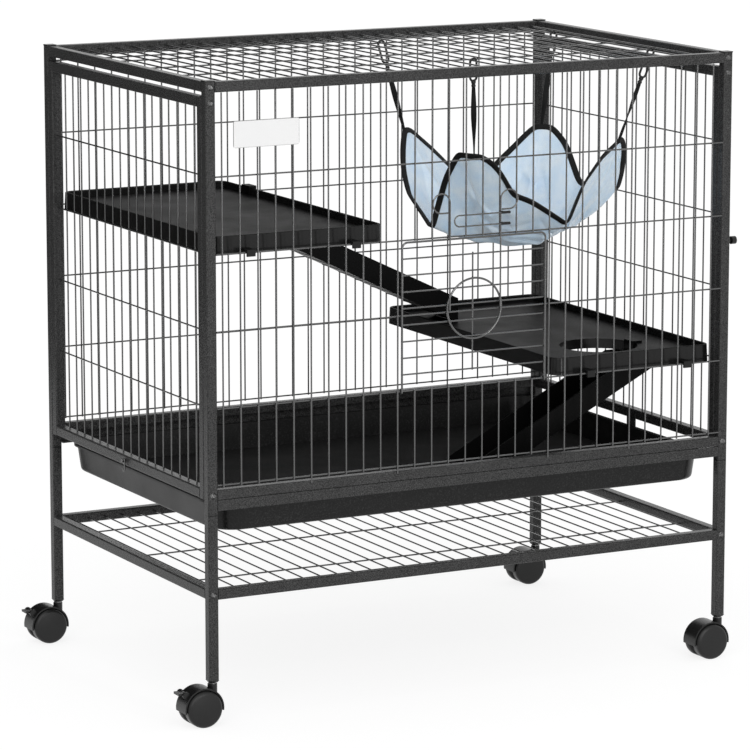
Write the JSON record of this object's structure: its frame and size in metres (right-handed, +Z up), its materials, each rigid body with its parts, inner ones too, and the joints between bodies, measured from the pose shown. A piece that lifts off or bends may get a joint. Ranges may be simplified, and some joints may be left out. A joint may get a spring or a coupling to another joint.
{
  "type": "small animal cage",
  "caption": "Wire small animal cage on swivel casters, with a drop-down front door, moulded platforms and ramps, a hanging cloth hammock, a slide-out tray and a wire shelf.",
  "frame": {"origin": "on the floor under the middle of the tube frame", "axes": "+X to the right along the front, +Y to the back, +Z up"},
  "size_m": [0.8669, 0.5562, 0.8536],
  "materials": {
    "frame_paint": "hammered satin",
    "wire_paint": "satin",
    "bright_steel": "zinc plated",
    "moulded_black": "fine grained",
    "tray_black": "semi-gloss",
    "trim_black": "semi-gloss",
    "wheel_black": "semi-gloss",
    "sign_white": "semi-gloss",
    "cloth_blue": "satin weave",
    "webbing_black": "woven tape"
  },
  "bodies": {
    "frame": {"front_left_post": "frame_paint", "front_right_post": "frame_paint", "back_left_post": "frame_paint", "back_right_post": "frame_paint", "legs": "frame_paint", "leg_spigots": "frame_paint", "front_top_rail": "frame_paint", "front_bottom_rail": "frame_paint", "back_top_rail": "frame_paint", "back_bottom_rail": "frame_paint", "top_side_rails": "frame_paint", "left_panel_frame": "frame_paint", "right_panel_frame": "frame_paint", "tray_rails": "frame_paint", "shelf_frame": "frame_paint", "tray_stop": "frame_paint", "knob_bracket": "frame_paint", "front_grille": "wire_paint", "back_grille": "wire_paint", "left_grille": "wire_paint", "right_grille": "wire_paint", "top_mesh": "wire_paint", "shelf_mesh": "wire_paint", "frame_bolts": "bright_steel", "shelf_bolts": "bright_steel", "clip_pin": "bright_steel", "caster_stems": "bright_steel", "snap_hooks": "bright_steel", "upper_platform": "moulded_black", "lower_platform": "moulded_black", "upper_ramp": "moulded_black", "lower_ramp": "moulded_black", "tube_plugs": "trim_black", "sign_plate": "sign_white", "hammock_cloth": "cloth_blue", "hammock_binding": "webbing_black", "hammock_straps": "webbing_black"},
    "door": {"door_frame": "wire_paint", "door_bars": "wire_paint", "door_uprights": "wire_paint"},
    "latch": {"latch_bolt": "wire_paint", "latch_tips": "trim_black"},
    "tray": {"tray": "tray_black"},
    "tray_clip": {"tray_clip": "wire_paint"},
    "side_knob": {"side_knob": "trim_black"},
    "front_left_swivel": {"front_left_caster_hood": "trim_black"},
    "front_left_wheel_set": {"front_left_wheels": "wheel_black", "front_left_axle": "bright_steel"},
    "front_right_swivel": {"front_right_caster_hood": "trim_black"},
    "front_right_wheel_set": {"front_right_wheels": "wheel_black", "front_right_axle": "bright_steel"},
    "back_left_swivel": {"back_left_caster_hood": "trim_black"},
    "back_left_wheel_set": {"back_left_wheels": "wheel_black", "back_left_axle": "bright_steel"},
    "back_right_swivel": {"back_right_caster_hood": "trim_black"},
    "back_right_wheel_set": {"back_right_wheels": "wheel_black", "back_right_axle": "bright_steel"},
    "front_left_brake": {"front_left_brake_lever": "trim_black"},
    "back_left_brake": {"back_left_brake_lever": "trim_black"}
  },
  "joints": [
    {"name": "door_hinge", "type": "hinge", "parent": "frame", "child": "door", "pos_m": [0, -0.2629, 0.4236], "axis": [1, 0, 0], "range_deg": [0, 165]},
    {"name": "latch_slide", "type": "slide", "parent": "door", "child": "latch", "axis": [1, 0, 0], "range_m": [0, 0.012]},
    {"name": "tray_slide", "type": "slide", "parent": "frame", "child": "tray", "axis": [-1, 0, 0], "range_m": [0, 0.245]},
    {"name": "clip_turn", "type": "hinge", "parent": "frame", "child": "tray_clip", "pos_m": [-0.4023, 0, 0.309], "axis": [1, 0, 0], "range_deg": [-90, 90]},
    {"name": "knob_turn", "type": "hinge", "parent": "frame", "child": "side_knob", "pos_m": [0.4, -0.243, 0.588], "axis": [1, 0, 0], "range_deg": [0, 90]},
    {"name": "front_left_swivel_turn", "type": "hinge", "parent": "frame", "child": "front_left_swivel", "pos_m": [-0.393, -0.257, 0.055], "axis": [0, 0, 1], "continuous": true},
    {"name": "front_left_wheel_roll", "type": "hinge", "parent": "front_left_swivel", "child": "front_left_wheel_set", "pos_m": [-0.411, -0.257, 0.025], "axis": [0, 1, 0], "continuous": true},
    {"name": "front_right_swivel_turn", "type": "hinge", "parent": "frame", "child": "front_right_swivel", "pos_m": [0.393, -0.257, 0.055], "axis": [0, 0, 1], "continuous": true},
    {"name": "front_right_wheel_roll", "type": "hinge", "parent": "front_right_swivel", "child": "front_right_wheel_set", "pos_m": [0.375, -0.257, 0.025], "axis": [0, 1, 0], "continuous": true},
    {"name": "back_left_swivel_turn", "type": "hinge", "parent": "frame", "child": "back_left_swivel", "pos_m": [-0.393, 0.257, 0.055], "axis": [0, 0, 1], "continuous": true},
    {"name": "back_left_wheel_roll", "type": "hinge", "parent": "back_left_swivel", "child": "back_left_wheel_set", "pos_m": [-0.411, 0.257, 0.025], "axis": [0, 1, 0], "continuous": true},
    {"name": "back_right_swivel_turn", "type": "hinge", "parent": "frame", "child": "back_right_swivel", "pos_m": [0.393, 0.257, 0.055], "axis": [0, 0, 1], "continuous": true},
    {"name": "back_right_wheel_roll", "type": "hinge", "parent": "back_right_swivel", "child": "back_right_wheel_set", "pos_m": [0.375, 0.257, 0.025], "axis": [0, 1, 0], "continuous": true},
    {"name": "front_left_brake_press", "type": "hinge", "parent": "front_left_swivel", "child": "front_left_brake", "pos_m": [-0.43559, -0.257, 0.04563], "axis": [0, -1, 0], "range_deg": [0, 20]},
    {"name": "back_left_brake_press", "type": "hinge", "parent": "back_left_swivel", "child": "back_left_brake", "pos_m": [-0.43559, 0.257, 0.04563], "axis": [0, -1, 0], "range_deg": [0, 20]}
  ]
}
